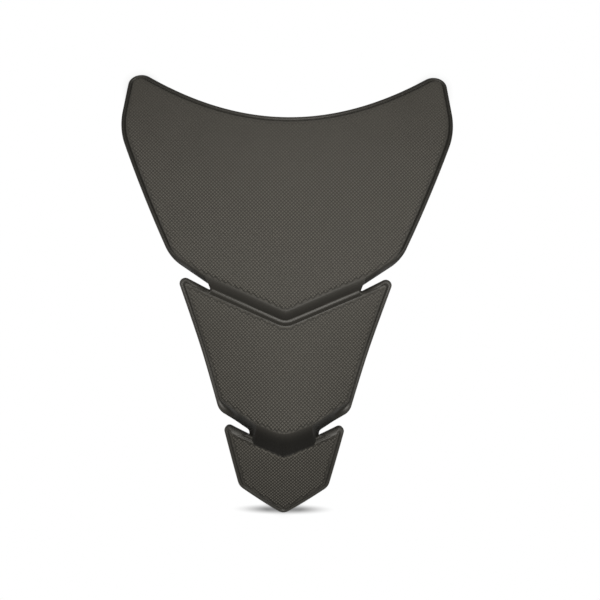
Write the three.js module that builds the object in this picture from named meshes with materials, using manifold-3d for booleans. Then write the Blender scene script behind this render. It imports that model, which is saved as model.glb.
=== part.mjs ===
// Motorcycle tank pad: one soft rubber moulding that is bonded to the top of a fuel tank.
// Millimetres, +Z up, x across the pad, y along it with the wide end at +y.
// The pad is first drawn flat, as three plates that lap over each other like scales. Then it is
// bent over the tank's two curvatures and laid on its back, on its wing tips and its tail tip.

import * as THREE from 'three';
import Module from 'manifold-3d';
import { mergeVertices } from 'three/addons/utils/BufferGeometryUtils.js';

// Heights of the moulding above its bonded back.
const EDGE_HEIGHT = 1.6;
const BEVEL_EDGE_HEIGHT = 1;
const SHOULDER_HEIGHT = 2.44;
const RIM_HEIGHT = 2.8;
const GROOVE_HEIGHT = 2.35;
const FIELD_HEIGHT = 3;

// The border between a plate's outline and its textured field: a round rim, then a narrow groove,
// which lies at its share of the way from the rim's crest to the field.
const RIM_SHOULDER = 0.36;
const RIM_CREST = 1.1;
const GROOVE_SHARE = 0.55;
const BORDER = 2.6;
const FIELD_CORNER_RADIUS = 0.6;
const RIDGE_BORDER = 3.56;
const MIDDLE_CHIN_BORDER = 3.7;
const TAIL_WING_BORDER = 2.9;

// Shield, the wide plate. Its top edge is one sweep, and its lower edges fall to the first chin.
const SHIELD_TOP_Y = 99.1;
const WING_TIP_X = 75.75;
const WING_TIP_Y = 128.6;
const WING_TIP_RADIUS = 5.8;
const SHOULDER_X = 81.2;
const SHOULDER_Y = 95.8;
const SHOULDER_RADIUS = 36;
const FLANK_BOW = 1;
const HIP_X = 54.7;
const HIP_Y = 30.4;
const HIP_RADIUS = 21;
const HIP_ANGLE = 34;

// First chin and the slots beside it.
const NECK_1_WIDTH = 71.8;
const CHIN_1_Y = 5.2;
const CHIN_1_ANGLE = 23.6;
const CHIN_1_RISE = 2.4;
const CHIN_1_FADE = 4;
const RIDGE_Y = 1.25;
const RIDGE_ANGLE = 23.4;

// Middle plate.
const MIDDLE_WING_X = 52.5;
const MIDDLE_WING_ANGLE = 27.3;
const MIDDLE_WING_RADIUS = 2.7;
const WING_TIP_BEVEL = 0.4;
const MIDDLE_SIDE_BOW = -0.7;
const MIDDLE_CORNER_X = 31.1;
const MIDDLE_CORNER_Y = -42.7;
const MIDDLE_CORNER_RADIUS = 7;
const MIDDLE_LOWER_ANGLE = 33;

// Second chin and the slots beside it.
const NECK_2_WIDTH = 33.4;
const CHIN_2_Y = -54.7;
const CHIN_2_ANGLE = 23.3;
const CHIN_2_RISE = 4.4;
const CHIN_2_FADE = 2;
const CHIN_2_TOE_Y = -69.2;
const CHIN_2_TOE_ANGLE = 21;
const CHIN_2_TOE_RADIUS = 4;

// Tail plate.
const TAIL_TOP_Y = -61;
const TAIL_WING_X = 29.5;
const TAIL_WING_ANGLE = 24.7;
const TAIL_WING_RADIUS = 2.3;
const TAIL_CORNER_X = 21.3;
const TAIL_CORNER_Y = -81.8;
const TAIL_CORNER_RADIUS = 6;
const TAIL_TIP_Y = -96.9;
const TAIL_TIP_RADIUS = 4.1;

// The slots' width and radius at their inner end, and the round points of the Vs. A chin reaches
// past the start of the plate below it by its lap. A bevel is straight with a roundness of 1, and
// with a higher one it is level at the field and steep at its foot.
const SLOT_GAP = 2.3;
const SLOT_END_RADIUS = 2.3;
const VEE_RADIUS = 12;
const NECK_RADIUS = 1;
const CHIN_LAP = 2.3;
const BEVEL_ROUNDNESS = 1.6;
const MIDDLE_CHIN_ROUNDNESS = 1.15;

// The tank under the pad: radii along its length, the first of them above its crown, and across
// it at the wide and the narrow end.
const CROWN_Y = 0.5;
const LENGTH_RADIUS_SHIELD = 300;
const LENGTH_RADIUS_MIDDLE = 230;
const LENGTH_RADIUS_TAIL = 150;
const CROSS_RADIUS_TOP = 370;
const CROSS_RADIUS_TAIL = 125;
const CROSS_BLEND = 22;

// How finely the curves are stepped: along an edge, across a face and round a corner. A corner
// takes no less than its reach of each edge, and no more than its share of it.
const STEP = 6;
const FACET = 12;
const ARC_STEP = THREE.MathUtils.degToRad(13);
const CORNER_REACH = 0.4;
const CORNER_SHARE = 0.45;
const LEAST_TURN = 1e-3;
const LAYING_PASSES = 6;

const slope = (degrees) => Math.tan(THREE.MathUtils.degToRad(degrees));
const point = (x, y) => new THREE.Vector2(x, y);

// A corner of an outline: its sharp place, its radius, and the edge that leaves it clockwise.
// The edge has its border's width, its bow outwards, and a bevel in place of the rim where its
// bevel is 1, given for its start and its end. A corner at a neck also gives its place on the
// field's outline, which has no such neck.
function corner(at, radius, {
  border = BORDER, bow = 0, bevel = [0, 0], roundness = BEVEL_ROUNDNESS, field = null,
} = {}) {
  return { at, radius, border, bow, bevel, roundness, field };
}

// The whole outline from its right half: the left half mirrors it, walked back up. A half that
// doesn't start on the axis is closed by a sweep, an edge from its left start to its right one.
function mirrored(half, sweep) {
  const last = half.length - 1;
  const edgeOf = ({ border, bow, bevel, roundness }) => (
    { border, bow, bevel: bevel.toReversed(), roundness });
  const flip = (at) => at && point(-at.x, at.y);
  const whole = half.slice(0, last);
  whole.push({ ...half[last], ...edgeOf(half[last - 1]) });
  for (let i = last - 1; i >= (sweep ? 0 : 1); i--) {
    const { at, field } = half[i];
    whole.push({ ...half[i], at: flip(at), field: flip(field), ...edgeOf(half[i - 1] ?? sweep) });
  }
  return whole;
}

function edgesOf(corners) {
  return corners.map(({ at, bow }, i) => {
    const end = corners[(i + 1) % corners.length].at;
    const along = end.clone().sub(at);
    const outward = point(-along.y, along.x).normalize();
    const control = at.clone().add(end).multiplyScalar(0.5).addScaledVector(outward, 2 * bow);
    return new THREE.QuadraticBezierCurve(at, control, end);
  });
}

// Where the line through a along u meets the line through b along v, or midway if they are one.
function meet(a, u, b, v) {
  const cross = u.x * v.y - u.y * v.x;
  if (Math.abs(cross) < LEAST_TURN) return a.clone().add(b).multiplyScalar(0.5);
  const t = ((b.x - a.x) * v.y - (b.y - a.y) * v.x) / cross;
  return a.clone().addScaledVector(u, t);
}

// The field's outline: every edge moved inwards by the width of its border.
function fieldCorners(corners) {
  const edges = edgesOf(corners);
  const inset = (edge, t, border) => {
    const along = edge.getTangent(t);
    return { along, from: edge.getPoint(t).addScaledVector(point(along.y, -along.x), border) };
  };
  const moved = corners.map((one, i) => {
    const before = (i + corners.length - 1) % corners.length;
    const into = inset(edges[before], 1, corners[before].border);
    const out = inset(edges[i], 0, one.border);
    const at = one.field ?? meet(into.from, into.along, out.from, out.along);
    const turn = Math.sign(out.along.cross(into.along));
    return { ...one, at, radius: Math.max(one.radius - turn * one.border, FIELD_CORNER_RADIUS) };
  });
  return moved.map((one, i) => {
    const edge = edges[i];
    const middle = inset(edge, 0.5, one.border).from;
    const end = moved[(i + 1) % moved.length].at;
    const along = end.clone().sub(one.at);
    const outward = point(-along.y, along.x).normalize();
    const chordMiddle = one.at.clone().add(end).multiplyScalar(0.5);
    return { ...one, bow: one.bow && middle.sub(chordMiddle).dot(outward) };
  });
}

// The round corner between two edges, and the share of each edge that it takes. The pull is the
// one that makes a Bezier curve nearly an arc.
function roundCorner(into, out, radius) {
  const angle = into.getTangent(1).angleTo(out.getTangent(0));
  const reach = Math.max(radius * Math.tan(angle / 2), CORNER_REACH);
  const share = [into, out].map((edge) => Math.min(reach / edge.getLength(), CORNER_SHARE));
  const from = into.getPoint(1 - share[0]);
  const to = out.getPoint(share[1]);
  const a = into.getTangent(1 - share[0]);
  const b = out.getTangent(share[1]);
  const tip = meet(from, a, to, b);
  const turn = Math.max(a.angleTo(b), LEAST_TURN);
  const pull = (4 / 3) * Math.tan(turn / 4) / Math.tan(turn / 2);
  const handles = [from, to].map((end) => end.clone().lerp(tip, pull));
  return { curve: new THREE.CubicBezierCurve(from, ...handles, to), angle, share };
}

// The points round an outline. Given the counts of another outline, it steps as that one does.
function trace(corners, counts = []) {
  const edges = edgesOf(corners);
  const rounds = corners.map(({ radius }, i) => roundCorner(edges.at(i - 1), edges[i], radius));
  const points = [];
  corners.forEach(({ bevel, roundness }, i) => {
    const next = (i + 1) % corners.length;
    const before = corners.at(i - 1);
    const start = rounds[i].share[1];
    const end = 1 - rounds[next].share[0];
    counts[i] ??= {
      arc: Math.max(2, Math.ceil(rounds[i].angle / ARC_STEP)),
      run: Math.max(1, Math.ceil(edges[i].getLength() * (end - start) / STEP)),
    };
    const { arc, run } = counts[i];
    for (let k = 0; k <= arc; k++) {
      const { x, y } = rounds[i].curve.getPoint(k / arc);
      points.push({
        x, y,
        bevel: THREE.MathUtils.lerp(before.bevel[1], bevel[0], k / arc),
        roundness: THREE.MathUtils.lerp(before.roundness, roundness, k / arc),
      });
    }
    for (let k = 1; k < run; k++) {
      const { x, y } = edges[i].getPoint(THREE.MathUtils.lerp(start, end, k / run));
      points.push({ x, y, bevel: THREE.MathUtils.lerp(...bevel, k / run), roundness });
    }
  });
  return { points, counts };
}

// The rings between the outline and the field: how far each lies from the outline, given the
// border's width there, and its height on a rim. The last ring is at the field's own height.
const SECTION = [
  [() => 0, EDGE_HEIGHT],
  [() => RIM_SHOULDER, SHOULDER_HEIGHT],
  [() => RIM_CREST, RIM_HEIGHT],
  [(width) => THREE.MathUtils.lerp(RIM_CREST, width, GROOVE_SHARE), GROOVE_HEIGHT],
  [(width) => width, null],
];

// A flat plate as a closed solid: rings lofted from the back over the rim and the groove to the
// field, or up a bevel, with the field's own height inside the last ring.
function plate({ half, sweep, height: fieldHeight }) {
  const corners = mirrored(half, sweep);
  const outline = trace(corners);
  const field = trace(fieldCorners(corners), outline.counts);
  const rings = SECTION.map(([reach, rimHeight]) => outline.points.map((from, i) => {
    const to = field.points[i];
    const width = Math.hypot(to.x - from.x, to.y - from.y);
    const share = reach(width) / width;
    const top = fieldHeight(to.x, to.y);
    const bevelled = THREE.MathUtils.lerp(top, BEVEL_EDGE_HEIGHT, (1 - share) ** from.roundness);
    const height = THREE.MathUtils.lerp(rimHeight ?? top, bevelled, from.bevel);
    const x = THREE.MathUtils.lerp(from.x, to.x, share);
    const y = THREE.MathUtils.lerp(from.y, to.y, share);
    return new THREE.Vector3(x, y, height);
  }));
  const back = outline.points.map(({ x, y }) => new THREE.Vector3(x, y, 0));
  const lowest = half.at(-1).field ?? half.at(-1).at;
  const highestY = half[0].at.y + (sweep ? sweep.bow : 0);
  const centreY = (lowest.y + highestY) / 2;
  const triangles = [
    ...[back, ...rings].slice(0, -1).flatMap((low, r) => wall(low, rings[r])),
    ...face(rings.at(-1), centreY, fieldHeight),
    ...face(back, centreY, () => 0).reverse(),
  ];
  return solid(new THREE.BufferGeometry().setFromPoints(triangles));
}

// The strip between two rings of equal counts, facing outwards.
function wall(low, high) {
  return low.flatMap((at, i) => {
    const j = (i + 1) % low.length;
    return [at, high[i], high[j], at, high[j], low[j]];
  });
}

// The face inside a ring: smaller and smaller copies of it round a centre, each with every
// second point left out where they crowd. It faces up.
function face(ring, centreY, height) {
  const triangles = [];
  const reach = Math.max(...ring.map(({ x, y }) => Math.hypot(x, y - centreY)));
  const count = Math.ceil(reach / FACET);
  let outer = ring;
  for (let left = count - 1; left > 0; left--) {
    const shrink = left / (left + 1);
    const gap = outer.reduce((sum, at, i) => sum + at.distanceTo(outer.at(i - 1)), 0) / outer.length;
    const stride = gap < FACET / 2 ? 2 : 1;
    const inner = outer.filter((_, i) => i % stride === 0).map(({ x, y }) => {
      const closer = centreY + (y - centreY) * shrink;
      return new THREE.Vector3(x * shrink, closer, height(x * shrink, closer));
    });
    inner.forEach((near, j) => {
      const nearNext = inner[(j + 1) % inner.length];
      const start = outer[j * stride];
      const end = outer[Math.min((j + 1) * stride, outer.length) % outer.length];
      const between = outer[j * stride + 1];
      if (stride === 2 && between && between !== end) {
        triangles.push(start, near, between, between, near, nearNext, between, nearNext, end);
      } else {
        triangles.push(start, near, nearNext, start, nearNext, end);
      }
    });
    outer = inner;
  }
  const centre = new THREE.Vector3(0, centreY, height(0, centreY));
  outer.forEach((at, i) => triangles.push(at, centre, outer[(i + 1) % outer.length]));
  return triangles;
}

const wasm = await Module();
wasm.setup();

// Every triangle is a face of its own, so that a join keeps the flat ones for the bend.
function solid(geometry) {
  const merged = mergeVertices(geometry);
  const vertProperties = Float32Array.from(merged.attributes.position.array);
  const triVerts = Uint32Array.from(merged.index.array);
  const faceID = triVerts.slice(0, triVerts.length / 3).map((_, i) => i);
  return new wasm.Manifold(new wasm.Mesh({ numProp: 3, vertProperties, triVerts, faceID }));
}

// A plate thickens towards its chin, most in the middle, and is even at its top and sides.
function thickening({ topY, chinY, halfWidth, rise, fade }) {
  return (x, y) => {
    const down = THREE.MathUtils.clamp((topY - y) / (topY - chinY), 0, 1);
    const across = Math.min(Math.abs(x) / halfWidth, 1);
    return FIELD_HEIGHT + rise * down ** 2 * (1 - across ** fade);
  };
}

// Places that two plates share at a neck: the end of a slot, and where the lower plate begins.
function neck(fromX, fromY, angle, width) {
  const x = width / 2;
  const slotEnd = point(x, fromY - slope(angle) * (fromX - x));
  return { slotEnd, lowerStart: point(x, slotEnd.y - SLOT_GAP) };
}
const neck1 = neck(HIP_X, HIP_Y, HIP_ANGLE, NECK_1_WIDTH);
const neck2 = neck(MIDDLE_CORNER_X, MIDDLE_CORNER_Y, MIDDLE_LOWER_ANGLE, NECK_2_WIDTH);

// Where a field's edge leaves the free lower edge for the chin, and a point a little further on.
function chinStart(cornerAt, angle, border, chinY, chinAngle) {
  const down = point(-1, -slope(angle)).normalize();
  const along = point(-1, -slope(chinAngle)).normalize();
  const from = cornerAt.clone().addScaledVector(point(down.y, -down.x), border);
  const start = meet(from, down, point(0, chinY), along);
  return [start, start.clone().addScaledVector(along, SLOT_END_RADIUS / 2)];
}

function shield() {
  const hip = point(HIP_X, HIP_Y);
  const [chinEnd, chinNext] = chinStart(hip, HIP_ANGLE, BORDER, CHIN_1_Y, CHIN_1_ANGLE);
  const toeEnd = neck1.lowerStart.clone().add(point(-CHIN_LAP / 2, -CHIN_LAP));
  const bevel = [1, 1];
  const half = [
    corner(point(WING_TIP_X, WING_TIP_Y), WING_TIP_RADIUS),
    corner(point(SHOULDER_X, SHOULDER_Y), SHOULDER_RADIUS, { bow: FLANK_BOW }),
    corner(hip, HIP_RADIUS, { bevel }),
    corner(neck1.slotEnd, SLOT_END_RADIUS, { bevel, field: chinEnd }),
    corner(toeEnd, NECK_RADIUS, { bevel, field: chinNext }),
    corner(point(0, RIDGE_Y - CHIN_LAP), VEE_RADIUS, { bevel, field: point(0, CHIN_1_Y) }),
  ];
  const sweep = {
    border: BORDER, bow: SHIELD_TOP_Y - WING_TIP_Y, bevel: [0, 0], roundness: BEVEL_ROUNDNESS,
  };
  const height = thickening({
    topY: SHIELD_TOP_Y,
    chinY: CHIN_1_Y,
    halfWidth: HIP_X + BORDER,
    rise: CHIN_1_RISE,
    fade: CHIN_1_FADE,
  });
  return { half, sweep, height };
}

function middlePlate() {
  const lower = point(MIDDLE_CORNER_X, MIDDLE_CORNER_Y);
  const [chinEnd, chinNext] = chinStart(
    lower, MIDDLE_LOWER_ANGLE, MIDDLE_CHIN_BORDER, CHIN_2_Y, CHIN_2_ANGLE);
  const start = neck1.lowerStart;
  const wingY = start.y + slope(MIDDLE_WING_ANGLE) * (MIDDLE_WING_X - start.x);
  const toeX = neck2.slotEnd.x - SLOT_END_RADIUS / 2;
  const toeEnd = point(toeX, CHIN_2_TOE_Y + slope(CHIN_2_TOE_ANGLE) * toeX);
  const ridgeX = start.x - SLOT_END_RADIUS / 2;
  const ridgeEnd = point(ridgeX, RIDGE_Y + slope(RIDGE_ANGLE) * ridgeX);
  const ridgeAlong = point(1, slope(RIDGE_ANGLE)).normalize();
  const ridgeField = ridgeEnd.clone().addScaledVector(
    point(ridgeAlong.y, -ridgeAlong.x), RIDGE_BORDER);
  const wingAlong = point(1, slope(MIDDLE_WING_ANGLE)).normalize();
  const wingField = start.clone().addScaledVector(point(wingAlong.y, -wingAlong.x), BORDER);
  const bevel = [1, 1];
  const roundness = MIDDLE_CHIN_ROUNDNESS;
  const half = [
    corner(point(0, RIDGE_Y), VEE_RADIUS, { border: RIDGE_BORDER }),
    corner(ridgeEnd, NECK_RADIUS, { bevel, field: ridgeField }),
    corner(start, NECK_RADIUS, {
      bevel: [1, WING_TIP_BEVEL], field: meet(ridgeField, ridgeAlong, wingField, wingAlong),
    }),
    corner(point(MIDDLE_WING_X, wingY), MIDDLE_WING_RADIUS, { bow: MIDDLE_SIDE_BOW }),
    corner(lower, MIDDLE_CORNER_RADIUS, {
      bevel: [0, 1], border: MIDDLE_CHIN_BORDER, roundness,
    }),
    corner(neck2.slotEnd, SLOT_END_RADIUS, { bevel, roundness, field: chinEnd }),
    corner(toeEnd, NECK_RADIUS, { bevel, roundness, field: chinNext }),
    corner(point(0, CHIN_2_TOE_Y), CHIN_2_TOE_RADIUS, {
      bevel, roundness, field: point(0, CHIN_2_Y),
    }),
  ];
  const height = thickening({
    topY: RIDGE_Y,
    chinY: CHIN_2_Y,
    halfWidth: MIDDLE_CORNER_X + BORDER,
    rise: CHIN_2_RISE,
    fade: CHIN_2_FADE,
  });
  return { half, height };
}

function tail() {
  const start = neck2.lowerStart;
  const wingY = start.y + slope(TAIL_WING_ANGLE) * (TAIL_WING_X - start.x);
  const half = [
    corner(point(0, TAIL_TOP_Y), VEE_RADIUS),
    corner(start, NECK_RADIUS, { bevel: [1, 1], border: TAIL_WING_BORDER }),
    corner(point(TAIL_WING_X, wingY), TAIL_WING_RADIUS),
    corner(point(TAIL_CORNER_X, TAIL_CORNER_Y), TAIL_CORNER_RADIUS),
    corner(point(0, TAIL_TIP_Y), TAIL_TIP_RADIUS),
  ];
  return { half, height: () => FIELD_HEIGHT };
}

// The tank's surface on the centre line, at a length along the pad: its place and its tilt.
function spine(length) {
  let tilt = 0;
  let y = 0;
  let z = 0;
  const follow = (run, radius) => {
    const turned = tilt + run / radius;
    y += radius * (Math.sin(turned) - Math.sin(tilt));
    z += radius * (Math.cos(turned) - Math.cos(tilt));
    tilt = turned;
  };
  if (length > CROWN_Y) {
    follow(length - CROWN_Y, LENGTH_RADIUS_SHIELD);
  } else {
    follow(Math.max(length, MIDDLE_CORNER_Y) - CROWN_Y, LENGTH_RADIUS_MIDDLE);
    follow(Math.min(length - MIDDLE_CORNER_Y, 0), LENGTH_RADIUS_TAIL);
  }
  return { tilt, y, z };
}

// One point of the flat pad, carried onto the tank: the spine gives its place along the tank,
// the radius across gives its place round it, and its height stands square to the surface.
function bend(flat) {
  const { tilt, y, z } = spine(flat.y);
  const share = THREE.MathUtils.smoothstep(flat.y, -CROSS_BLEND, CROSS_BLEND);
  const radius = 1 / THREE.MathUtils.lerp(1 / CROSS_RADIUS_TAIL, 1 / CROSS_RADIUS_TOP, share);
  const angle = flat.x / radius;
  const drop = (radius + flat.z) * Math.cos(angle) - radius;
  return new THREE.Vector3(
    (radius + flat.z) * Math.sin(angle), y + drop * Math.sin(tilt), z + drop * Math.cos(tilt));
}

// Turns the bent pad about x until its wing tips and its tail touch the ground together, and
// centres it over the origin.
function layDown(geometry) {
  const position = geometry.attributes.position;
  const at = new THREE.Vector3();
  for (let pass = 0; pass < LAYING_PASSES; pass++) {
    geometry.computeBoundingBox();
    const middle = geometry.boundingBox.getCenter(new THREE.Vector3()).y;
    const wings = new THREE.Vector3(0, 0, Infinity);
    const tip = wings.clone();
    for (let i = 0; i < position.count; i++) {
      at.fromBufferAttribute(position, i);
      const end = at.y > middle ? wings : tip;
      if (at.z < end.z) end.copy(at);
    }
    geometry.rotateX(-Math.atan2(wings.z - tip.z, wings.y - tip.y));
  }
  geometry.computeBoundingBox();
  const { min, max } = geometry.boundingBox;
  geometry.translate(-(min.x + max.x) / 2, -(min.y + max.y) / 2, -min.z);
}

function tankPad() {
  const plates = [shield(), middlePlate(), tail()].map(plate);
  const mesh = plates.reduce((whole, next) => whole.add(next)).getMesh();
  const flat = new THREE.BufferGeometry();
  flat.setAttribute('position', new THREE.BufferAttribute(mesh.vertProperties, 3));
  flat.setIndex(new THREE.BufferAttribute(mesh.triVerts, 1));
  const position = flat.attributes.position;
  const at = new THREE.Vector3();
  for (let i = 0; i < position.count; i++) {
    const { x, y, z } = bend(at.fromBufferAttribute(position, i));
    position.setXYZ(i, x, y, z);
  }
  layDown(flat);
  flat.computeVertexNormals();
  return flat;
}

const rubber = new THREE.MeshStandardMaterial({ color: 0x4b4844, roughness: 0.62, metalness: 0 });
const pad = new THREE.Mesh(tankPad(), rubber);
pad.name = 'tank_pad';

const group = new THREE.Group();
group.add(pad);

export default group;
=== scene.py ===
# Motorcycle tank pad: one rubber moulding of three lapping plates, lying on its back on a pale floor.
# The drawing of the flat pattern is in millimetres, and the finished mesh is in metres.

from math import ceil, cos, pi, radians, tan

import bpy
import numpy as np
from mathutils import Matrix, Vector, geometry


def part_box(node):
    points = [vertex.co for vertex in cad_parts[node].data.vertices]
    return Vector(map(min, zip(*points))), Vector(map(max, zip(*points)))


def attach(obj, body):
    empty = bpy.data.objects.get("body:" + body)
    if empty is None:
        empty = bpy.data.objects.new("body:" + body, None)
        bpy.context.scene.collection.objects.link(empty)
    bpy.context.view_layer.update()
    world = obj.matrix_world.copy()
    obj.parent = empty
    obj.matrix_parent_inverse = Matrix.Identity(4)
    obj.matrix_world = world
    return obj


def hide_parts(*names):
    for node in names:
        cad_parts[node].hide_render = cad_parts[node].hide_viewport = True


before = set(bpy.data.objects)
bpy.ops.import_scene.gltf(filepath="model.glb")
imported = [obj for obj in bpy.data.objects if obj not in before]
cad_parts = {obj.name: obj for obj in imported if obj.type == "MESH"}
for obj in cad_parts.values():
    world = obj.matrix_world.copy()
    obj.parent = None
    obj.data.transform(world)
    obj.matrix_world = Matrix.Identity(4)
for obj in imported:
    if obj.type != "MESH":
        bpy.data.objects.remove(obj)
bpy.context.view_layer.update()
cad_low, cad_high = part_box("tank_pad")


# Outline of a plate. Each plate is drawn flat as a ring of corners, each with its own radius. A
# smooth border runs between its outline and its textured field: a rim and a groove along most
# edges, and a plain bevel on the chins and beside the necks.
BORDER = 2.6
BEVEL_ROUNDNESS = 1.6
FIELD_CORNER_RADIUS = 0.6
OUTLINE_STEP = 1.1
ARC_STEP = radians(9)
LEAST_ARC_STEPS = 3
LENGTH_SAMPLES = 33
CORNER_REACH = 0.4
CORNER_SHARE = 0.45
LEAST_TURN = 1e-3


def cross(u, v):
    return (u.conjugate() * v).imag


def unit(u):
    return u / abs(u)


def meet(a, u, b, v):
    """Where the line through a along u meets the line through b along v."""
    if abs(cross(u, v)) < LEAST_TURN:
        return (a + b) / 2
    return a + u * cross(b - a, v) / cross(u, v)


def corner(at, radius, border=BORDER, bow=0.0, bevel=(0, 0), roundness=BEVEL_ROUNDNESS, field=None,
           field_radius=None):
    """A sharp place and its radius, and the edge that leaves it clockwise: the width of its
    border, its bow, and the bevel's share at both ends and its roundness. A share above 1 makes
    the bevel full before that end. The field's place and radius follow from the border where they
    aren't given."""
    return {"at": at, "radius": radius, "border": border, "bow": bow, "bevel": bevel,
            "roundness": roundness, "field": field, "field_radius": field_radius}


def mirrored(half, sweep=None):
    """The whole ring from its right half. A sweep closes a half that starts off the axis."""
    def edge_of(one):
        return {key: one[key] for key in ("border", "bow", "roundness")} | {"bevel": one["bevel"][::-1]}

    def flip(at):
        return None if at is None else -at.conjugate()

    whole = half[:-1] + [half[-1] | edge_of(half[-2])]
    for i in range(len(half) - 2, -1 if sweep else 0, -1):
        before = half[i - 1] if i else sweep
        other_side = {"at": flip(half[i]["at"]), "field": flip(half[i]["field"])}
        whole.append(half[i] | edge_of(before) | other_side)
    return whole


class Edge:
    """The shallow curve between two corners."""

    def __init__(self, a, b, bow):
        self.a = a
        self.b = b
        self.pull = (a + b) / 2 + 2j * bow * unit(b - a)

    def at(self, t):
        return (1 - t) ** 2 * self.a + 2 * t * (1 - t) * self.pull + t ** 2 * self.b

    def along(self, t):
        return unit((1 - t) * (self.pull - self.a) + t * (self.b - self.pull))

    def length(self):
        return float(np.abs(np.diff(self.at(np.linspace(0, 1, LENGTH_SAMPLES)))).sum())


def edges_of(corners):
    return [Edge(one["at"], corners[(i + 1) % len(corners)]["at"], one["bow"])
            for i, one in enumerate(corners)]


def field_corners(corners):
    """The field's outline: every edge moved inwards by the width of its border."""
    edges = edges_of(corners)
    moved = []
    for i, one in enumerate(corners):
        into, out = edges[i - 1].along(1), edges[i].along(0)
        a = edges[i - 1].at(1) - 1j * into * corners[i - 1]["border"]
        b = edges[i].at(0) - 1j * out * one["border"]
        at = one["field"] if one["field"] is not None else meet(a, into, b, out)
        turn = np.sign(cross(out, into))
        radius = one["field_radius"] or max(one["radius"] - turn * one["border"], FIELD_CORNER_RADIUS)
        moved.append(one | {"at": at, "radius": radius})
    for i, one in enumerate(moved):
        if one["bow"]:
            middle = edges[i].at(0.5) - 1j * edges[i].along(0.5) * one["border"]
            start, end = one["at"], moved[(i + 1) % len(moved)]["at"]
            one["bow"] = ((middle - (start + end) / 2) * (1j * unit(end - start)).conjugate()).real
    return moved


def round_corner(into, out, radius):
    """The curve round a corner, its angle, and the share that it takes of both edges."""
    angle = abs(np.angle(out.along(0) / into.along(1)))
    reach = max(radius * tan(angle / 2), CORNER_REACH)
    share = [min(reach / edge.length(), CORNER_SHARE) for edge in (into, out)]
    start, end = into.at(1 - share[0]), out.at(share[1])
    a, b = into.along(1 - share[0]), out.along(share[1])
    tip = meet(start, a, end, b)
    turn = max(abs(np.angle(b / a)), LEAST_TURN)
    pull = (4 / 3) * tan(turn / 4) / tan(turn / 2)
    handles = start + (tip - start) * pull, end + (tip - end) * pull

    def curve(t):
        bends = 3 * t * (1 - t) * ((1 - t) * handles[0] + t * handles[1])
        return (1 - t) ** 3 * start + bends + t ** 3 * end

    return curve, angle, share, reach


def trace(corners, counts=None):
    """The points round an outline, the bevel's share and roundness at each, and the steps taken
    round each corner and along each edge, which are another outline's if its counts are given."""
    edges = edges_of(corners)
    rounds = [round_corner(edges[i - 1], edges[i], one["radius"]) for i, one in enumerate(corners)]
    points, bevels, stepped = [], [], []
    for i, one in enumerate(corners):
        curve, angle, share, reach = rounds[i]
        start, end = share[1], 1 - rounds[(i + 1) % len(corners)][2][0]
        if counts is None:
            arc = max(LEAST_ARC_STEPS, ceil(angle / ARC_STEP), ceil(2 * reach / OUTLINE_STEP))
            run = max(1, ceil(edges[i].length() * (end - start) / OUTLINE_STEP))
        else:
            arc, run = counts[i]
        stepped.append((arc, run))
        before = corners[i - 1]
        turned = np.arange(arc + 1) / arc
        points.append(curve(turned))
        bevels.append([np.minimum(before["bevel"][1] * (1 - turned) + one["bevel"][0] * turned, 1),
                       before["roundness"] * (1 - turned) + one["roundness"] * turned])
        passed = np.arange(1, run) / run
        points.append(edges[i].at(start + (end - start) * passed))
        bevels.append([np.minimum(one["bevel"][0] * (1 - passed) + one["bevel"][1] * passed, 1),
                       np.full(run - 1, one["roundness"])])
    return np.concatenate(points), np.concatenate(bevels, 1), stepped


# Section of the edge. The rubber stands up from the back as a thin lip and rolls over to the crest
# of the rim. The groove behind the rim has a round bottom and a steep wall up to the field, which
# has a narrow smooth ledge along the upper edges of the two lower plates.
EDGE_HEIGHT = 1.6
RIM_HEIGHT = 2.8
RIM_CREST = 1.1
RIM_STEPS = [0, 0.04, 0.12, 0.25, 0.42, 0.6, 0.8, 1.0]
RIM_SQUARENESS = 3.2
GROOVE_HEIGHT = 2.35
GROOVE_SHARE = 0.55
GROOVE_STEPS = [0.2, 0.4, 0.6, 0.8, 1.0]
GROOVE_LAG = 1.7
WALL_STEPS = [0.3, 0.6, 0.85, 1.0]
LEDGE = 0.35
LEAST_LEDGE = 0.06


def section(width, ledge):
    """Reaches from the outline towards the field, which is a width away. Each has its height, its
    share of the climb from the groove to the field, and its depth in the groove, from 0 to 1."""
    rim_rise = RIM_HEIGHT - EDGE_HEIGHT
    groove = RIM_CREST + GROOVE_SHARE * (width - RIM_CREST)
    for t in RIM_STEPS:
        roll = (1 - (1 - t) ** RIM_SQUARENESS) ** (1 / RIM_SQUARENESS)
        yield t * RIM_CREST * np.ones(width.shape), EDGE_HEIGHT + rim_rise * roll, 0, 0
    for t in GROOVE_STEPS:
        fall = (1 + cos(pi * t ** GROOVE_LAG)) / 2
        yield (RIM_CREST + t * (groove - RIM_CREST),
               GROOVE_HEIGHT + (RIM_HEIGHT - GROOVE_HEIGHT) * fall, 0, 1 - fall)
    for t in WALL_STEPS:
        climb = (1 - cos(pi * t)) / 2
        yield groove + t * (width - ledge - groove), GROOVE_HEIGHT, climb, 1 - climb
    yield width, GROOVE_HEIGHT, 1, 0


# Grip texture of the fields: small round-shouldered studs in rows turned 45 degrees, with narrow
# valleys between them that are deepest where four studs meet. It is cut into the mould, so the
# studs' tops lie in the field's own surface.
GRIP_PITCH = 1.2
GRIP_DEPTH = 0.32
STUD_TOP = 0.24
MEAN_VALLEY = 0.5
GRIP_MARGIN = 0.3
SLIVER = 1e-3
GRIP_TURN = np.exp(1j * pi / 4)


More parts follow.
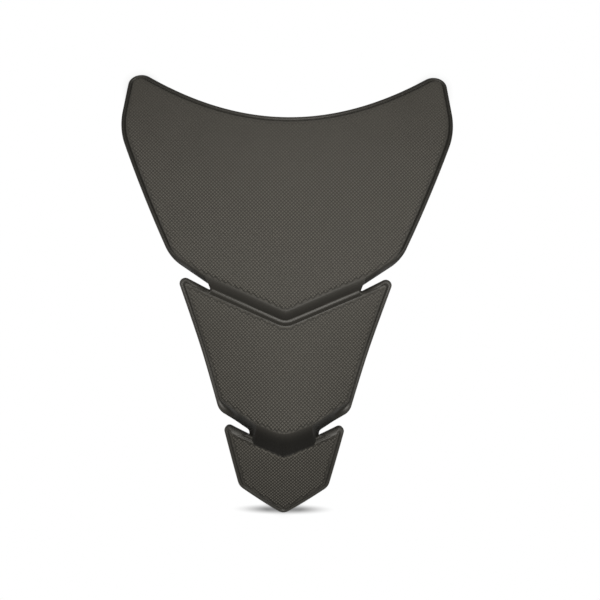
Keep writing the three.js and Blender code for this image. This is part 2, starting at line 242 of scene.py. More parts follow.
def inside(ring, at, margin):
    """Which points lie inside a ring and at least a margin away from it."""
    within = np.zeros(at.shape, bool)
    nearest = np.full(at.shape, np.inf)
    for p, q in zip(ring, np.roll(ring, -1)):
        if p.imag != q.imag:
            reach = p.real + (q.real - p.real) * (at.imag - p.imag) / (q.imag - p.imag)
            within ^= ((p.imag > at.imag) != (q.imag > at.imag)) & (at.real < reach)
        share = np.clip(((at - p) * (q - p).conjugate()).real / abs(q - p) ** 2, 0, 1)
        nearest = np.minimum(nearest, np.abs(at - p - share * (q - p)))
    return within & (nearest > margin)


def triangles_between(ring, at, edges):
    """Triangles over the points, inside the ring, that keep the edges."""
    corners, _, faces, *_ = geometry.delaunay_2d_cdt(
        [(p.real, p.imag) for p in at], [tuple(map(int, e)) for e in edges], [], 0, SLIVER ** 2, False)
    if len(corners) != len(at):
        raise ValueError("an outline crosses itself")
    faces = np.array([face[:] for face in faces])
    return faces[inside(ring, at[faces].mean(1), SLIVER)]


def loop(count):
    return np.stack([np.arange(count), (np.arange(count) + 1) % count], 1)


def studded(ring, height, strength):
    """Points, heights, valleys and faces of a field inside its ring: whole studs, and a seam to
    the ring. The strength is the texture's share of its full depth at a place. The valleys go from
    0 on a stud to 1 where the texture is deep, and are even where it runs out. They set the depth
    of the pits and also the painted shade between the studs."""
    u = ring / GRIP_TURN / GRIP_PITCH
    low = np.floor([u.real.min(), u.imag.min()])
    high = np.ceil([u.real.max(), u.imag.max()])
    i, j = np.meshgrid(*(np.arange(a, b + 1) for a, b in zip(low, high)), indexing="ij")
    pits = (i - 0.5 + 1j * (j - 0.5)) * GRIP_TURN * GRIP_PITCH
    free = inside(ring, pits.ravel(), GRIP_MARGIN).reshape(pits.shape)
    kept = free[:-1, :-1] & free[1:, :-1] & free[1:, 1:] & free[:-1, 1:]
    middles = (i + 1j * j)[:-1, :-1] * GRIP_TURN * GRIP_PITCH
    loose = inside(ring, middles.ravel(), GRIP_MARGIN).reshape(middles.shape) & ~kept

    number = np.full(pits.shape, -1)
    number[free] = len(ring) + np.arange(free.sum())
    shifts = [STUD_TOP * GRIP_TURN * GRIP_PITCH * turn for turn in (-1 - 1j, 1 - 1j, 1 + 1j, -1 + 1j)]
    tops = np.stack([middles[kept] + shift for shift in shifts], 1)
    first = len(ring) + free.sum()
    top = first + np.arange(tops.size).reshape(tops.shape)
    at = np.concatenate([ring, pits[free], tops.ravel(), middles[loose]])
    # The valleys' depth here is also their painted shade: pits darkest, the studs' tops unshaded.
    depth_and_painted_shade = np.zeros(len(at))
    depth_and_painted_shade[len(ring):first] = 1
    depth_and_painted_shade[first + tops.size:] = MEAN_VALLEY
    share = strength(at.real, at.imag)
    z = height(at.real, at.imag) - GRIP_DEPTH * depth_and_painted_shade * share

    around = np.stack([number[:-1, :-1], number[1:, :-1], number[1:, 1:], number[:-1, 1:]], -1)
    around_kept = around[kept]
    studs = [np.stack([around_kept[:, k], around_kept[:, k - 3], top[:, k - 3], top[:, k]], 1)
             for k in range(4)]

    held = np.pad(kept, 1)
    rows = np.stack([number[:-1], number[1:]], -1)[held[1:-1, :-1] != held[1:-1, 1:]]
    columns = np.stack([number[:, :-1], number[:, 1:]], -1)[held[:-1, 1:-1] != held[1:, 1:-1]]
    rim = np.concatenate([rows, columns])

    whole = np.zeros(pits.shape, bool)
    for di, dj in ((0, 0), (1, 0), (1, 1), (0, 1)):
        whole[di:di + kept.shape[0], dj:dj + kept.shape[1]] |= kept
    used = np.zeros(len(at), bool)
    used[:len(ring)] = True
    used[rim] = True
    used[number[free & ~whole]] = True
    used[first + tops.size:] = True
    chosen = np.flatnonzero(used)
    renamed = np.full(len(at), -1)
    renamed[chosen] = np.arange(len(chosen))
    kept_edges = np.concatenate([loop(len(ring)), renamed[rim]])
    seam = chosen[triangles_between(ring, at[chosen], kept_edges)]
    cell = at[seam].mean(1) / GRIP_TURN / GRIP_PITCH
    ci = np.rint(cell.real - low[0]).astype(int).clip(0, kept.shape[0] - 1)
    cj = np.rint(cell.imag - low[1]).astype(int).clip(0, kept.shape[1] - 1)
    return at, z, depth_and_painted_shade * share + MEAN_VALLEY * (1 - share), [*studs, top, seam[~kept[ci, cj]]]


# Body of a plate: its back, its border and its field. The back is plain, because it is stuck down
# on the tank, and its grid of points lets it bend smoothly. Grooves, the feet of bevels, the walls
# under chins and the shield's flank borders get painted shade, kept with the painted shade of the
# valleys between the studs.
BACK_ROUNDING = 0.25
BACK_REACH = 150.0
BACK_GRID = 5.0
BACK_MARGIN = 1.5
BEVEL_EDGE_HEIGHT = 1.0
EDGE_PAINTED_SHADE = 0.6
GROOVE_SHADE = 0.35
FOOT_SHADE = 0.9
FOOT_FADE = 2
UNDER_GAIN = 2


def flat_plate(name, half, height, strength, chin_shade=(0, 1), flank_shade=0, ledged=True, sweep=None):
    """One plate as a closed mesh, flat on its back, and how many of its faces are smooth. The
    rest, after them, are the textured field. The chin's painted shade is its depth and how late it
    fades towards the field, the flanks' painted shade is its depth in their border, and a ledged
    plate has the ledge, with no painted shade along the field's upper edges."""
    corners = mirrored(half, sweep)
    outline, (bevel, roundness), counts = trace(corners)
    field, _, _ = trace(field_corners(corners), counts)
    count = len(outline)
    width = np.abs(field - outline)
    top = height(field.real, field.imag)

    tucked = outline + (field - outline) * BACK_ROUNDING / width
    inwards = (field - outline).imag / width
    under = np.clip(UNDER_GAIN * inwards, 0, 1)
    upper = ledged * np.clip(-inwards, 0, 1)
    flank = flank_shade * np.abs((field - outline).real) / width
    at = [tucked, outline]
    z = [np.zeros(count), np.full(count, BACK_ROUNDING)]
    depth, fade = chin_shade
    # Painted shade, where light hardly reaches: under the chins, at the feet of bevels, in the grooves
    # and in the shield's flank borders.
    shade = [bevel] * 2
    for reach, rim_height, climb, hollow in section(width, LEAST_LEDGE + LEDGE * upper):
        share = reach / width
        bevelled = top - (top - BEVEL_EDGE_HEIGHT) * (1 - share) ** roundness
        rim = rim_height + (top - GROOVE_HEIGHT) * climb
        at.append(outline + (field - outline) * share)
        z.append(rim * (1 - bevel) + bevelled * bevel)
        chin = under * depth * (1 - share ** fade) + (1 - under) * FOOT_SHADE * (1 - share) ** FOOT_FADE
        shade.append(bevel * chin + (1 - bevel) * np.maximum(GROOVE_SHADE * hollow, flank))
    rings = len(at)
    steps = loop(count)
    sides = [np.stack([low + steps[:, 0], low + count + steps[:, 0],
                       low + count + steps[:, 1], low + steps[:, 1]], 1)
             for low in count * np.arange(rings - 1)]

    field_at, field_z, field_painted_shade, field_faces = studded(field, height, strength)
    first = count * (rings - 1)
    steps_across = np.arange(-BACK_REACH, BACK_REACH + 1, BACK_GRID)
    x, y = np.meshgrid(steps_across, steps_across)
    grid = (x + 1j * y).ravel()
    grid = grid[inside(tucked, grid, BACK_MARGIN)]
    grid_first = first + len(field_at)
    back = triangles_between(tucked, np.concatenate([tucked, grid]), loop(count))[:, ::-1]
    back = np.where(back < count, back, back - count + grid_first)

    places = np.concatenate([*at[:-1], field_at, grid])
    heights = np.concatenate([*z[:-1], field_z, np.zeros(len(grid))])
    smooth = [face for group in [*sides, back] for face in group.tolist()]
    grip = [face for group in field_faces for face in (group + first).tolist()]
    mesh = bpy.data.meshes.new(name)
    mesh.from_pydata(np.stack([places.real, places.imag, heights], 1).tolist(), [], smooth + grip)
    mesh.update()
    # Painted shade along the field's edge ring, except beside a ledge.
    field_painted_shade[:count] = EDGE_PAINTED_SHADE * (1 - upper)
    shades = np.concatenate([*shade[:-1], field_painted_shade, np.zeros(len(grid))])
    mesh.attributes.new("depth_and_painted_shade", "FLOAT", "POINT").data.foreach_set("value", shades)
    return mesh, len(smooth)


# Shield, the wide plate. It is moulded with a sweep along its top that clears the steering head,
# two wing tips, and lower edges that run into the first chin over the middle plate. Its texture
# gets shallower towards the sweep and the flanks.
FIELD_HEIGHT = 3.0
SHIELD_TOP_Y = 99.1
WING_TIP = 75.75 + 128.6j
WING_TIP_RADIUS = 5.8
SHOULDER = 81.2 + 95.8j
SHOULDER_RADIUS = 36.0
FLANK_BOW = 1.0
HIP = 54.7 + 30.4j
HIP_RADIUS = 21.0
HIP_ANGLE = 34.0
NECK_1_WIDTH = 71.8
CHIN_1_Y = 5.8
CHIN_1_ANGLE = 23.6
CHIN_1_RISE = 2.4
CHIN_1_FADE = 4
CHIN_1_SHOULDER = 3.2
CHIN_1_DROP = 0.5
CHIN_1_SHADE = 0.5, 2
FLANK_SHADE = 0.55
RIDGE_Y = 1.25
SLOT_GAP = 2.3
SLOT_END_RADIUS = 2.3
VEE_RADIUS = 6.0
NECK_RADIUS = 1.0
CHIN_LAP = 2.3
GRIP_LEAST = 0.25
GRIP_FULL = 44.0
GRIP_SIDE_FADE = 0.45


def slope(degrees):
    return tan(radians(degrees))


def slot_end(start, angle, neck_width):
    """The inner end of a slot above the neck, and where the plate below it begins."""
    x = neck_width / 2
    end = x + 1j * (start.imag - slope(angle) * (start.real - x))
    return end, end - 1j * SLOT_GAP


def chin_start(start, angle, border, chin_y, chin_angle):
    """Where a field's edge turns from the free lower edge into the chin, and a little further."""
    down = unit(-1 - 1j * slope(angle))
    along = unit(-1 - 1j * slope(chin_angle))
    at = meet(start - 1j * down * border, down, 1j * chin_y, along)
    return at, at + along * SLOT_END_RADIUS / 2


def thickening(top_y, chin_y, half_width, rise, fade, angle, shoulder, drop):
    """A plate thickens towards its chin, most in the middle, and rolls over just before it."""
    def height(x, y):
        down = np.clip((top_y - y) / (top_y - chin_y), 0, 1)
        across = np.minimum(np.abs(x) / half_width, 1)
        above_chin = (y - chin_y - slope(angle) * np.abs(x)) * cos(radians(angle))
        roll = np.clip(1 - above_chin / shoulder, 0, 1) ** 2
        return FIELD_HEIGHT + rise * down ** 2 * (1 - across ** fade) - drop * roll
    return height


def side_fade(x, half_width):
    """The strength of a texture that gets shallower towards the flanks of a plate."""
    return 1 - GRIP_SIDE_FADE * (x / half_width) ** 2


def shield_grip(x, y):
    sweep_y = SHIELD_TOP_Y + (WING_TIP.imag - SHIELD_TOP_Y) * (x / WING_TIP.real) ** 2
    return side_fade(x, SHOULDER.real) * np.clip((sweep_y - y) / GRIP_FULL, GRIP_LEAST, 1)


slot_1_end, middle_start = slot_end(HIP, HIP_ANGLE, NECK_1_WIDTH)
chin_1_end, chin_1_next = chin_start(HIP, HIP_ANGLE, BORDER, CHIN_1_Y, CHIN_1_ANGLE)
shield_half = [
    corner(WING_TIP, WING_TIP_RADIUS),
    corner(SHOULDER, SHOULDER_RADIUS, bow=FLANK_BOW),
    corner(HIP, HIP_RADIUS, bevel=(1, 1)),
    corner(slot_1_end, SLOT_END_RADIUS, bevel=(1, 1), field=chin_1_end),
    corner(middle_start - CHIN_LAP * (0.5 + 1j), NECK_RADIUS, bevel=(1, 1), field=chin_1_next),
    corner(1j * (RIDGE_Y - CHIN_LAP), VEE_RADIUS, bevel=(1, 1), field=1j * CHIN_1_Y),
]
shield_sweep = corner(WING_TIP, 0, bow=SHIELD_TOP_Y - WING_TIP.imag)
shield_height = thickening(SHIELD_TOP_Y, CHIN_1_Y, HIP.real + BORDER, CHIN_1_RISE, CHIN_1_FADE,
                           CHIN_1_ANGLE, CHIN_1_SHOULDER, CHIN_1_DROP)
shield = flat_plate("shield", shield_half, shield_height, shield_grip, chin_shade=CHIN_1_SHADE,
                    flank_shade=FLANK_SHADE, ledged=False, sweep=shield_sweep)


# Middle plate. Its top edge is a shallow V with a thin ridge that lies against the shield's chin,
# its sides draw in a little, and it swells towards the tall second chin. Its lower edges turn from
# a rim into a broad bevel.
RIDGE_ANGLE = 23.4
RIDGE_BORDER = 3.56
MIDDLE_LOWER_BORDER = 5.3
MIDDLE_CHIN_BORDER = 5.9
LOWER_EDGE_BEVEL = 2
CHIN_2_ROUNDNESS = 1.15
MIDDLE_WING_X = 52.5
MIDDLE_WING_ANGLE = 27.3
MIDDLE_WING_RADIUS = 2.7
WING_TIP_BEVEL = 0.4
MIDDLE_SIDE_BOW = -0.7
MIDDLE_CORNER = 31.1 - 42.7j
MIDDLE_CORNER_RADIUS = 7.0
MIDDLE_LOWER_ANGLE = 33.0
NECK_2_WIDTH = 33.4
CHIN_2_Y = -52.4
CHIN_2_TIP_RADIUS = 14.0
CHIN_2_ANGLE = 21.0
CHIN_2_RISE = 4.4
CHIN_2_FADE = 2
CHIN_2_SHOULDER = 1.0
CHIN_2_DROP = 0.12
CHIN_2_SHADE = 0.82, 8
CHIN_2_TOE_Y = -70.3
CHIN_2_TOE_ANGLE = 21.0
CHIN_2_TOE_RADIUS = 4.0


def rising(start, x, angle):
    """The point at x on a line that rises outwards from its start."""
    return x + 1j * (start.imag + slope(angle) * (x - start.real))


slot_2_end, tail_start = slot_end(MIDDLE_CORNER, MIDDLE_LOWER_ANGLE, NECK_2_WIDTH)
chin_2_end, chin_2_next = chin_start(
    MIDDLE_CORNER, MIDDLE_LOWER_ANGLE, MIDDLE_CHIN_BORDER, CHIN_2_Y, CHIN_2_ANGLE)
toe_2_x = slot_2_end.real - SLOT_END_RADIUS / 2
toe_2 = rising(1j * CHIN_2_TOE_Y, toe_2_x, CHIN_2_TOE_ANGLE)
middle_wing = rising(middle_start, MIDDLE_WING_X, MIDDLE_WING_ANGLE)
ridge_end = rising(1j * RIDGE_Y, middle_start.real - SLOT_END_RADIUS / 2, RIDGE_ANGLE)
ridge_along = unit(1 + 1j * slope(RIDGE_ANGLE))
ridge_field = ridge_end - 1j * ridge_along * RIDGE_BORDER
wing_along = unit(1 + 1j * slope(MIDDLE_WING_ANGLE))
wing_field = meet(ridge_field, ridge_along, middle_start - 1j * wing_along * BORDER, wing_along)
chin_2 = {"bevel": (1, 1), "roundness": CHIN_2_ROUNDNESS}
middle_half = [
    corner(1j * RIDGE_Y, VEE_RADIUS, border=RIDGE_BORDER),
    corner(ridge_end, NECK_RADIUS, bevel=(1, 1), field=ridge_field),
    corner(middle_start, NECK_RADIUS, bevel=(1, WING_TIP_BEVEL), field=wing_field),
    corner(middle_wing, MIDDLE_WING_RADIUS, bow=MIDDLE_SIDE_BOW),
    corner(MIDDLE_CORNER, MIDDLE_CORNER_RADIUS, border=MIDDLE_LOWER_BORDER,
           bevel=(0, LOWER_EDGE_BEVEL), roundness=CHIN_2_ROUNDNESS),
    corner(slot_2_end, SLOT_END_RADIUS, **chin_2, field=chin_2_end),
    corner(toe_2, NECK_RADIUS, **chin_2, field=chin_2_next),
    corner(1j * CHIN_2_TOE_Y, CHIN_2_TOE_RADIUS, **chin_2, field=1j * CHIN_2_Y,
           field_radius=CHIN_2_TIP_RADIUS),
]
middle_height = thickening(RIDGE_Y, CHIN_2_Y, MIDDLE_CORNER.real + BORDER, CHIN_2_RISE, CHIN_2_FADE,
                           CHIN_2_ANGLE, CHIN_2_SHOULDER, CHIN_2_DROP)
middle = flat_plate("middle", middle_half, middle_height, lambda x, y: side_fade(x, MIDDLE_WING_X),
                    chin_shade=CHIN_2_SHADE)


# Tail, the small plate at the narrow end. It is even in thickness. It starts under the second
# chin, with a bevel beside the neck, and the rest of its edge is a rim.
TAIL_TOP_Y = -61.0
TAIL_WING_X = 29.5
TAIL_WING_ANGLE = 24.7
TAIL_WING_RADIUS = 2.3
TAIL_CORNER = 21.3 - 81.8j
TAIL_CORNER_RADIUS = 6.0
TAIL_TIP_Y = -96.9
TAIL_TIP_RADIUS = 4.1
TAIL_WING_BORDER = 2.9

tail_half = [
    corner(1j * TAIL_TOP_Y, VEE_RADIUS),
    corner(tail_start, NECK_RADIUS, border=TAIL_WING_BORDER, bevel=(1, 1)),
    corner(rising(tail_start, TAIL_WING_X, TAIL_WING_ANGLE), TAIL_WING_RADIUS),
    corner(TAIL_CORNER, TAIL_CORNER_RADIUS),
    corner(1j * TAIL_TIP_Y, TAIL_TIP_RADIUS),
]
tail = flat_plate("tail", tail_half, lambda x, y: np.full(x.shape, FIELD_HEIGHT),
                  lambda x, y: side_fade(x, TAIL_WING_X))


# The one moulding. The three plates are joined where they lap, and the flat pattern is carried
# onto the tank: it curves along the tank, tighter towards the tail, and across it. Then it is laid
# on the ground, on its wing tips and its tail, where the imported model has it.
CROWN_Y = 0.5
LENGTH_RADIUS_SHIELD = 300.0
LENGTH_RADIUS_MIDDLE = 230.0
LENGTH_RADIUS_TAIL = 150.0
CROSS_RADIUS_TOP = 370.0
CROSS_RADIUS_TAIL = 125.0
CROSS_BLEND = 22.0
LAYING_PASSES = 6
MILLIMETRE = 0.001


def follow(tilt, run, radius):
    turned = tilt + run / radius
    return turned, radius * (np.sin(turned) - np.sin(tilt) + 1j * (np.cos(turned) - np.cos(tilt)))


def spine(length):
    """The tank's tilt on its centre line, and the place there as y + z * i."""
    tilt, upper = follow(0, np.maximum(length - CROWN_Y, 0), LENGTH_RADIUS_SHIELD)
    tilt, middle_run = follow(
        tilt, np.clip(length, MIDDLE_CORNER.imag, CROWN_Y) - CROWN_Y, LENGTH_RADIUS_MIDDLE)
    tilt, lower = follow(tilt, np.minimum(length - MIDDLE_CORNER.imag, 0), LENGTH_RADIUS_TAIL)
    return tilt, upper + middle_run + lower


def bent(flat):
    """The flat pad's points, carried onto the tank: x, and y + z * i."""
    x, y, z = flat.T
    tilt, centre = spine(y)
    share = np.clip((y + CROSS_BLEND) / (2 * CROSS_BLEND), 0, 1)
    share = share ** 2 * (3 - 2 * share)
    radius = 1 / (share / CROSS_RADIUS_TOP + (1 - share) / CROSS_RADIUS_TAIL)
    drop = (radius + z) * np.cos(x / radius) - radius
    return (radius + z) * np.sin(x / radius), centre + drop * (np.sin(tilt) + 1j * np.cos(tilt))


def laid_down(yz):
    """Turned until the wing tips and the tail touch the ground together."""
    for _ in range(LAYING_PASSES):
        upper = yz.real > (yz.real.min() + yz.real.max()) / 2
        wings, tip = (yz[part][np.argmin(yz[part].imag)] for part in (upper, ~upper))
        yz = yz / unit(wings - tip)
    return yz


def joined(plates):
    """One object from the plates. A face keeps 2 * its plate's number + 1 if it is textured."""
    objects = []
    for number, (mesh, smooth_count) in enumerate(plates):
        for slot in range(2 * len(plates)):
            mesh.materials.append(bpy.data.materials.new(f"face_{slot}"))
        faces = np.full(len(mesh.polygons), 2 * number)
        faces[smooth_count:] += 1
        mesh.polygons.foreach_set("material_index", faces)
        objects.append(bpy.data.objects.new(mesh.name, mesh))
        bpy.context.scene.collection.objects.link(objects[-1])
    base = objects[0]
    for other in objects[1:]:
        lap = base.modifiers.new(other.name, "BOOLEAN")
        lap.operation = "UNION"
        lap.solver = "MANIFOLD"
        lap.object = other
    whole = bpy.data.meshes.new_from_object(base.evaluated_get(bpy.context.evaluated_depsgraph_get()))
    for one in objects:
        bpy.data.objects.remove(one)
    return whole


pad_mesh = joined([shield, middle, tail])
flat_points = np.empty(3 * len(pad_mesh.vertices))
pad_mesh.vertices.foreach_get("co", flat_points)
flat_points = flat_points.reshape(-1, 3)
across, yz = bent(flat_points)
yz = laid_down(yz)
middle_y = (yz.real.min() + yz.real.max()) / 2
on_ground = yz - middle_y - 1j * yz.imag.min()
places = np.stack([across, on_ground.real, on_ground.imag], 1) * MILLIMETRE
places += [0, (cad_low.y + cad_high.y) / 2, cad_low.z]
pad_mesh.vertices.foreach_set("co", places.ravel())
pad_mesh.update()

pad = bpy.data.objects.new("tank_pad_moulding", pad_mesh)
bpy.context.scene.collection.objects.link(pad)
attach(pad, "root")
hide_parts("tank_pad")


# Shading of the moulding. It is smooth, and creased only where one plate ends on another and at
# edges that the mould leaves sharp.
CREASE_ANGLE = radians(38)

face_kinds = np.empty(len(pad_mesh.polygons), int)
pad_mesh.polygons.foreach_get("material_index", face_kinds)
pad_mesh.polygons.foreach_set("use_smooth", np.ones(len(face_kinds), bool))
pad_mesh.set_sharp_from_angle(angle=CREASE_ANGLE)
edge_count = len(pad_mesh.edges)
first_plate = np.full(edge_count, -1)
last_plate = np.full(edge_count, -1)
textured = np.ones(edge_count, bool)
loop_edges = np.empty(len(pad_mesh.loops), int)
pad_mesh.loops.foreach_get("edge_index", loop_edges)
loop_totals = np.empty(len(pad_mesh.polygons), int)
pad_mesh.polygons.foreach_get("loop_total", loop_totals)
loop_kinds = np.repeat(face_kinds, loop_totals)
first_plate[loop_edges[::-1]] = loop_kinds[::-1] // 2
last_plate[loop_edges] = loop_kinds // 2
np.logical_and.at(textured, loop_edges, loop_kinds % 2 == 1)
sharp = np.empty(edge_count, bool)
pad_mesh.attributes["sharp_edge"].data.foreach_get("value", sharp)
sharp = (sharp & ~textured) | (first_plate != last_plate)
pad_mesh.attributes["sharp_edge"].data.foreach_set("value", sharp)


# Rubber. It is one compound, dark and faintly brown: satin where the mould is polished, on the
# rims, grooves and chins, and duller on the fields, whose mould is textured. Shade is painted into
# its colour, and its coat taken away, where the mesh carries painted shade: between the studs, in
# the grooves, at the feet of bevels, under the chins and on the shield's flanks.
POLISHED_COLOUR = (0.041, 0.038, 0.032, 1)
FIELD_COLOUR = (0.088, 0.081, 0.068, 1)
WARM_SHEEN = (1, 0.96, 0.86, 1)
COAT_ROUGHNESS = 0.42
PAINTED_SHADE_SHARE = 0.06
CLOUD_SHARE = 0.86
CLOUD_SIZE = 0.018
CLOUD_DETAIL = 3.0
CLOUD_ROUGHNESS = 0.1
GRAIN_SIZE = 0.00035
GRAIN_DETAIL = 2.0
GRAIN_ROUGHNESS = 0.08


class Wire:
    """A node's output. Arithmetic on wires and numbers adds Math nodes."""

    def __init__(self, tree, socket=None):
        self.tree = tree
        self.socket = socket

    def node(self, kind, settings, output, **inputs):
        """An output of a new node. Each input is a socket's name, or i and a socket's number."""
        made = self.tree.nodes.new(kind)
        for name, value in settings.items():
            setattr(made, name, value)
        for name, value in inputs.items():
            numbered = name[1:].isdigit()
            socket = made.inputs[int(name[1:]) if numbered else name.replace("_", " ")]
            if isinstance(value, Wire):
                self.tree.links.new(value.socket, socket)
            else:
                socket.default_value = value
        return Wire(self.tree, made.outputs[output])

    def math(self, operation, a, b):
        return self.node("ShaderNodeMath", {"operation": operation}, 0, i0=a, i1=b)

    def __add__(self, other):
        return self.math("ADD", self, other)

    def __sub__(self, other):
        return self.math("SUBTRACT", self, other)

    def __rsub__(self, other):
        return self.math("SUBTRACT", other, self)

    def __mul__(self, other):
        return self.math("MULTIPLY", self, other)

    __radd__ = __add__
    __rmul__ = __mul__


def darker(colour, share):
    return [part * share for part in colour[:3]] + [1]


def rubber(name, colour, roughness, specular, coat, grain):
    """A finish of the rubber, a little cloudy and with a fine grain. Shade is painted into its colour,
    and its coat thinned, where the mesh carries painted shade.
    """
    material = bpy.data.materials.new(name)
    material.use_nodes = True
    tree = material.node_tree
    tree.nodes.clear()
    start = Wire(tree)
    place = start.node("ShaderNodeTexCoord", {}, "Object")
    cloud = start.node("ShaderNodeTexNoise", {}, "Fac", Vector=place, Scale=1 / CLOUD_SIZE,
                       Detail=CLOUD_DETAIL)
    fine = start.node("ShaderNodeTexNoise", {}, "Fac", Vector=place, Scale=1 / GRAIN_SIZE,
                      Detail=GRAIN_DETAIL)
    depth_and_painted_shade = start.node("ShaderNodeAttribute", {"attribute_name": "depth_and_painted_shade"}, "Fac")
    clouded = start.node("ShaderNodeMix", {"data_type": "RGBA"}, 2, i0=cloud,
                         i6=darker(colour, CLOUD_SHARE), i7=darker(colour, 2 - CLOUD_SHARE))
    # Painted shade: the colour darkens towards a small share of itself where the mesh is shaded.
    shade = start.node("ShaderNodeMix", {"data_type": "RGBA"}, 2, i0=depth_and_painted_shade,
                       i6=clouded, i7=darker(colour, PAINTED_SHADE_SHARE))
    bump = start.node("ShaderNodeBump", {}, 0, Strength=grain, Distance=GRAIN_SIZE, Height=fine)
    surface = start.node(
        "ShaderNodeBsdfPrincipled", {}, 0, Base_Color=shade, Normal=bump, Specular_IOR_Level=specular,
        Specular_Tint=WARM_SHEEN, Coat_Weight=coat * (1 - depth_and_painted_shade), Coat_Roughness=COAT_ROUGHNESS,
        Roughness=roughness + CLOUD_ROUGHNESS * (cloud - 0.5) + GRAIN_ROUGHNESS * (fine - 0.5))
    output = tree.nodes.new("ShaderNodeOutputMaterial")
    tree.links.new(surface.socket, output.inputs["Surface"])
    return material


pad_mesh.materials.clear()
pad_mesh.materials.append(rubber(
    "polished_rubber", POLISHED_COLOUR, roughness=0.4, specular=0.18, coat=0.34, grain=0.1))
pad_mesh.materials.append(rubber(
    "textured_rubber", FIELD_COLOUR, roughness=0.55, specular=0.35, coat=0, grain=0.2))
pad_mesh.polygons.foreach_set("material_index", face_kinds % 2)


# Floor: plain and matt, and white to the eye wherever nothing stands close above it. A small dark
# shadow is painted into its colour at the tip of the tail.
FLOOR_SIZE = 8.0
FLOOR_DROP = 0.00005
FLOOR_COLOUR = (0.8, 0.8, 0.8, 1)
OPEN_SKY_REACH = 0.004
OPEN_SKY_SAMPLES = 16
PAINTED_SHADOW_SIZE = (0.026, 0.003, 1)
PAINTED_SHADOW_LIFT = 0.0012
PAINTED_SHADOW_DEPTH = 0.95
WHITE = (1, 1, 1, 1)
BLACK = (0, 0, 0, 1)

floor_mesh = bpy.data.meshes.new("floor")
half_floor = FLOOR_SIZE / 2
floor_mesh.from_pydata([(x, y, cad_low.z - FLOOR_DROP) for x, y in
                        ((-half_floor, -half_floor), (half_floor, -half_floor),
                         (half_floor, half_floor), (-half_floor, half_floor))], [], [(0, 1, 2, 3)])
floor = bpy.data.objects.new("floor", floor_mesh)
bpy.context.scene.collection.objects.link(floor)

floor_paint = bpy.data.materials.new("floor_paint")
floor_paint.use_nodes = True
tree = floor_paint.node_tree
tree.nodes.clear()
start = Wire(tree)
seen = start.node("ShaderNodeLightPath", {}, "Is Camera Ray")
glossy = Wire(tree, seen.socket.node.outputs["Is Glossy Ray"])
through = Wire(tree, seen.socket.node.outputs["Is Transmission Ray"])
place = start.node("ShaderNodeTexCoord", {}, "Object")
# Painted shadow: a soft dark ellipse on the floor round the tail's tip.
tip = (0, cad_low.y + PAINTED_SHADOW_LIFT, 0)
offset = start.node("ShaderNodeVectorMath", {"operation": "SUBTRACT"}, "Vector", i0=place, i1=tip)
spread = start.node("ShaderNodeVectorMath", {"operation": "DIVIDE"}, "Vector",
                    i0=offset, i1=PAINTED_SHADOW_SIZE)
away = start.node("ShaderNodeVectorMath", {"operation": "LENGTH"}, "Value", i0=spread)
painted_shadow = start.node("ShaderNodeMapRange", {"interpolation_type": "SMOOTHSTEP"}, 0, Value=away,
                     i1=0.0, i2=1.0, i3=PAINTED_SHADOW_DEPTH, i4=0.0)
open_sky = start.node("ShaderNodeAmbientOcclusion", {"samples": OPEN_SKY_SAMPLES}, "AO",
                      Distance=OPEN_SKY_REACH)
ground = start.node("ShaderNodeMix", {"data_type": "RGBA"}, 2, i0=painted_shadow, i6=WHITE, i7=BLACK)
glow = start.node("ShaderNodeEmission", {}, 0, Color=ground, Strength=1.0)
lit = start.node("ShaderNodeBsdfDiffuse", {}, 0, Color=FLOOR_COLOUR)
share = (seen + glossy + through) * open_sky
mixed = start.node("ShaderNodeMixShader", {}, 0, i0=share, i1=lit, i2=glow)
output = tree.nodes.new("ShaderNodeOutputMaterial")
tree.links.new(mixed.socket, output.inputs["Surface"])
floor_mesh.materials.append(floor_paint)


# Studio: a soft light high overhead, a weaker one beyond the wide end that models the chins, two
# tall strips at the sides that draw the outer edges, and a dim grey room.
KEY_PLACE = (0.13, 0, 1.5)
KEY_SIZE = (0.5, 0.5)
KEY_POWER = 12.8
FILL_PLACE = (0.02, 0.33, 0.75)
FILL_SIZE = (0.5, 0.3)
FILL_POWER = 1.3
STRIP_DISTANCE = 0.7
STRIP_HEIGHT = 0.3
STRIP_SIZE = (0.12, 0.7)
STRIP_POWER = 1.2
ROOM_LIGHT = 0.18


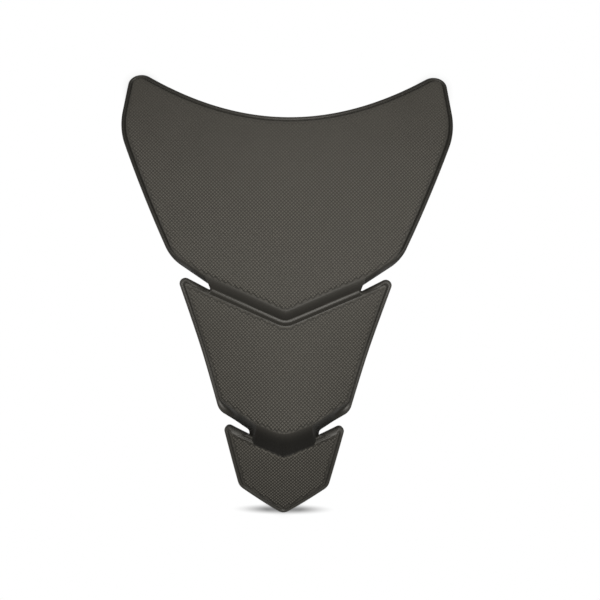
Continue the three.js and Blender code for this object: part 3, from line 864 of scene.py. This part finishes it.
def soft_light(name, at, size, power):
    """A rectangular light that faces the middle of the pad."""
    light = bpy.data.lights.new(name, "AREA")
    light.shape = "RECTANGLE"
    light.size, light.size_y = size
    light.energy = power
    lamp = bpy.data.objects.new(name, light)
    lamp.location = at
    lamp.rotation_euler = (-lamp.location).to_track_quat("-Z", "Y").to_euler()
    bpy.context.scene.collection.objects.link(lamp)


soft_light("key", KEY_PLACE, KEY_SIZE, KEY_POWER)
soft_light("fill", FILL_PLACE, FILL_SIZE, FILL_POWER)
for name, side in (("strip_left", -1), ("strip_right", 1)):
    soft_light(name, (side * STRIP_DISTANCE, 0, STRIP_HEIGHT), STRIP_SIZE, STRIP_POWER)

world = bpy.data.worlds.new("room")
world.use_nodes = True
bpy.context.scene.world = world
tree = world.node_tree
tree.nodes.clear()
start = Wire(tree)
dim = start.node("ShaderNodeBackground", {}, 0, Color=WHITE, Strength=ROOM_LIGHT)
output = tree.nodes.new("ShaderNodeOutputWorld")
tree.links.new(dim.socket, output.inputs["Surface"])


# Camera: straight above the pad, as the photograph faces it, a little turned. The shift puts the
# pad's middle where the photograph has it.
CAMERA_HEIGHT = 1.1
IMAGE_WIDTH = 600
FOCAL_PIXELS = 2330
SENSOR_WIDTH = 36.0
CAMERA_ROLL = radians(0.5632)
PAD_MIDDLE_PIXEL = 285.5, 294.5

lens = bpy.data.cameras.new("camera")
lens.sensor_width = SENSOR_WIDTH
lens.lens = FOCAL_PIXELS / IMAGE_WIDTH * SENSOR_WIDTH
lens.shift_x = (IMAGE_WIDTH / 2 - PAD_MIDDLE_PIXEL[0]) / IMAGE_WIDTH
lens.shift_y = (PAD_MIDDLE_PIXEL[1] - IMAGE_WIDTH / 2) / IMAGE_WIDTH
camera = bpy.data.objects.new("camera", lens)
camera.location = (0, 0, cad_high.z + CAMERA_HEIGHT)
camera.rotation_euler = (0, 0, CAMERA_ROLL)
bpy.context.scene.collection.objects.link(camera)
bpy.context.scene.camera = camera
bpy.context.scene.view_settings.view_transform = "Standard"
